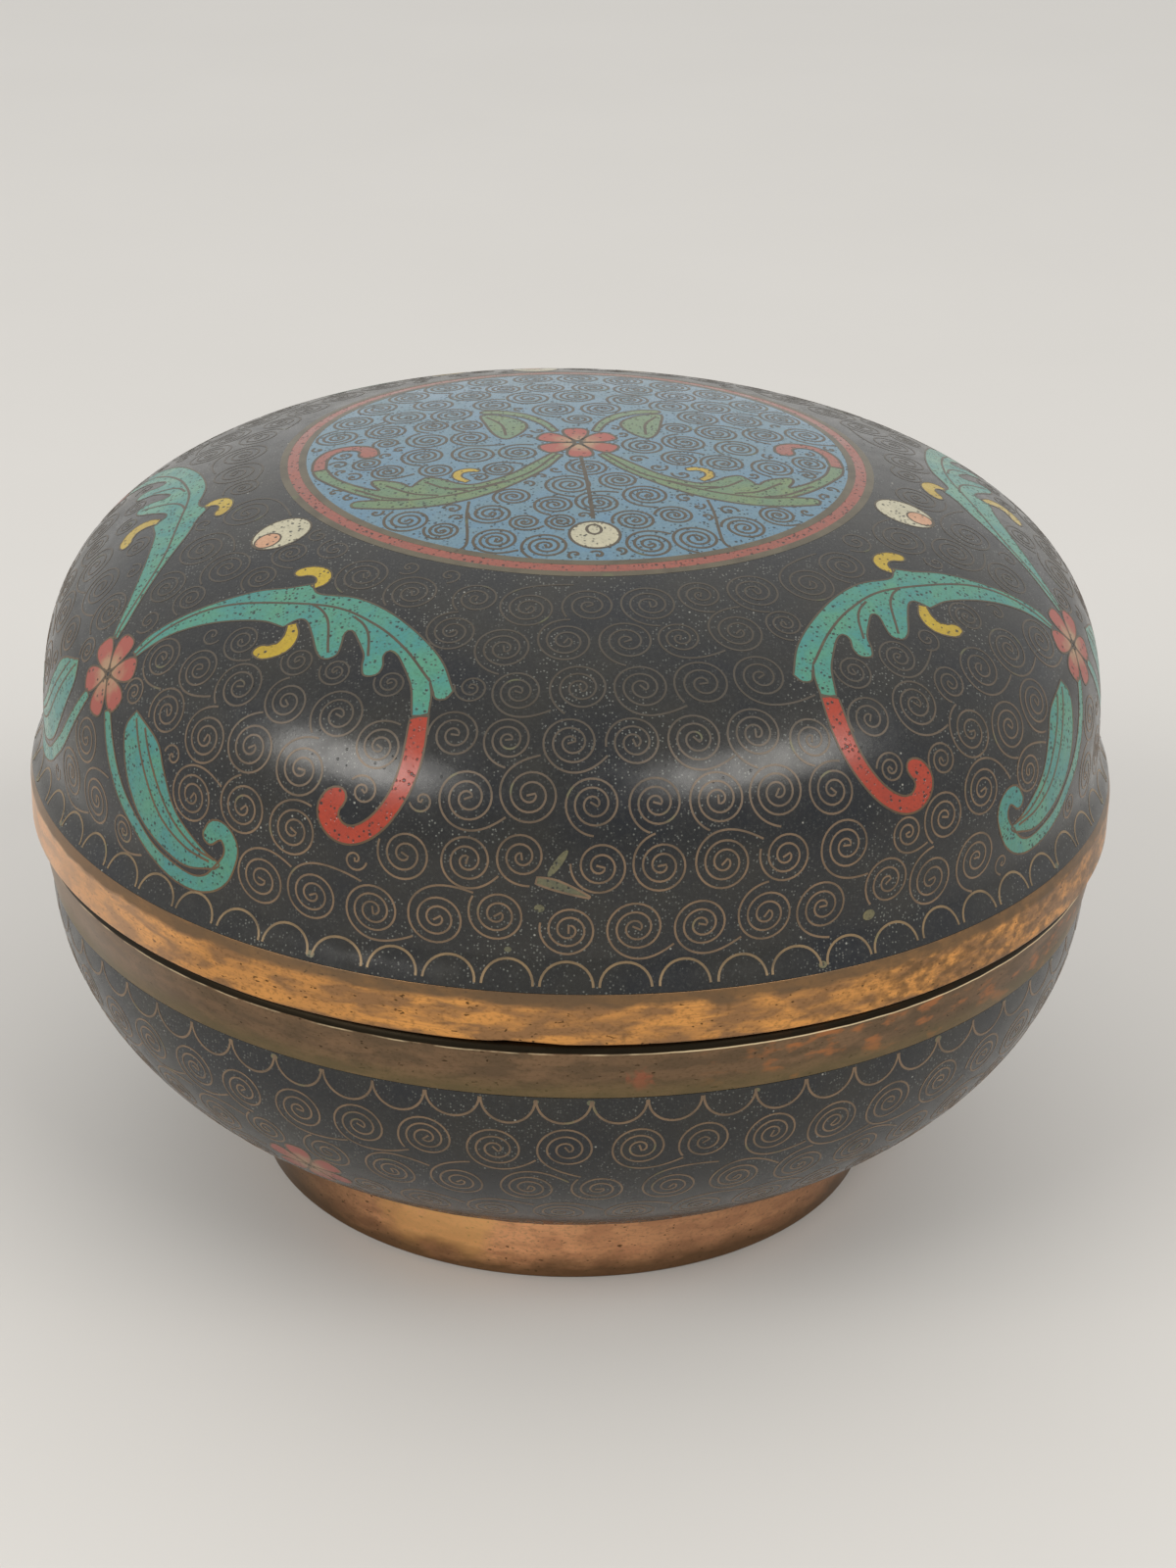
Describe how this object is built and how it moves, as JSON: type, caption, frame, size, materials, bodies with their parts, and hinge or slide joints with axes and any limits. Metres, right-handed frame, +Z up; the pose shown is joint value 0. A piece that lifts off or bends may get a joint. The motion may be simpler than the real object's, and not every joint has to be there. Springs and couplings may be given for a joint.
{
  "type": "cloisonne enamel box",
  "caption": "Round cloisonne enamel box: domed lid with a copper band lifts off a footed bowl, black ground with wire spirals and scrolling flowers.",
  "frame": {"origin": "middle of the foot ring's underside, where the box stands on a table", "axes": "+Z up along the axis of turning, -Y towards the side that the picture shows, +X to its right"},
  "size_m": [0.12, 0.12, 0.0835],
  "materials": {
    "black_enamel": "polished black glass enamel on copper, worn to a soft gloss",
    "bright_copper": "bare copper, rubbed bright, with scratches and small dark pits",
    "brown_copper": "bare copper, toned brown",
    "cloison_wire": "thin copper wires polished flush with the enamel",
    "turquoise_enamel": "matt turquoise enamel with pinholes",
    "blue_enamel": "pale blue enamel with pinholes",
    "red_enamel": "coral red enamel",
    "yellow_enamel": "yellow enamel",
    "white_enamel": "white enamel"
  },
  "bodies": {
    "root": {"lid_shell": "black_enamel", "lid_band": "bright_copper", "base_bowl": "black_enamel", "base_band": "brown_copper", "foot_ring": "bright_copper"}
  },
  "joints": []
}
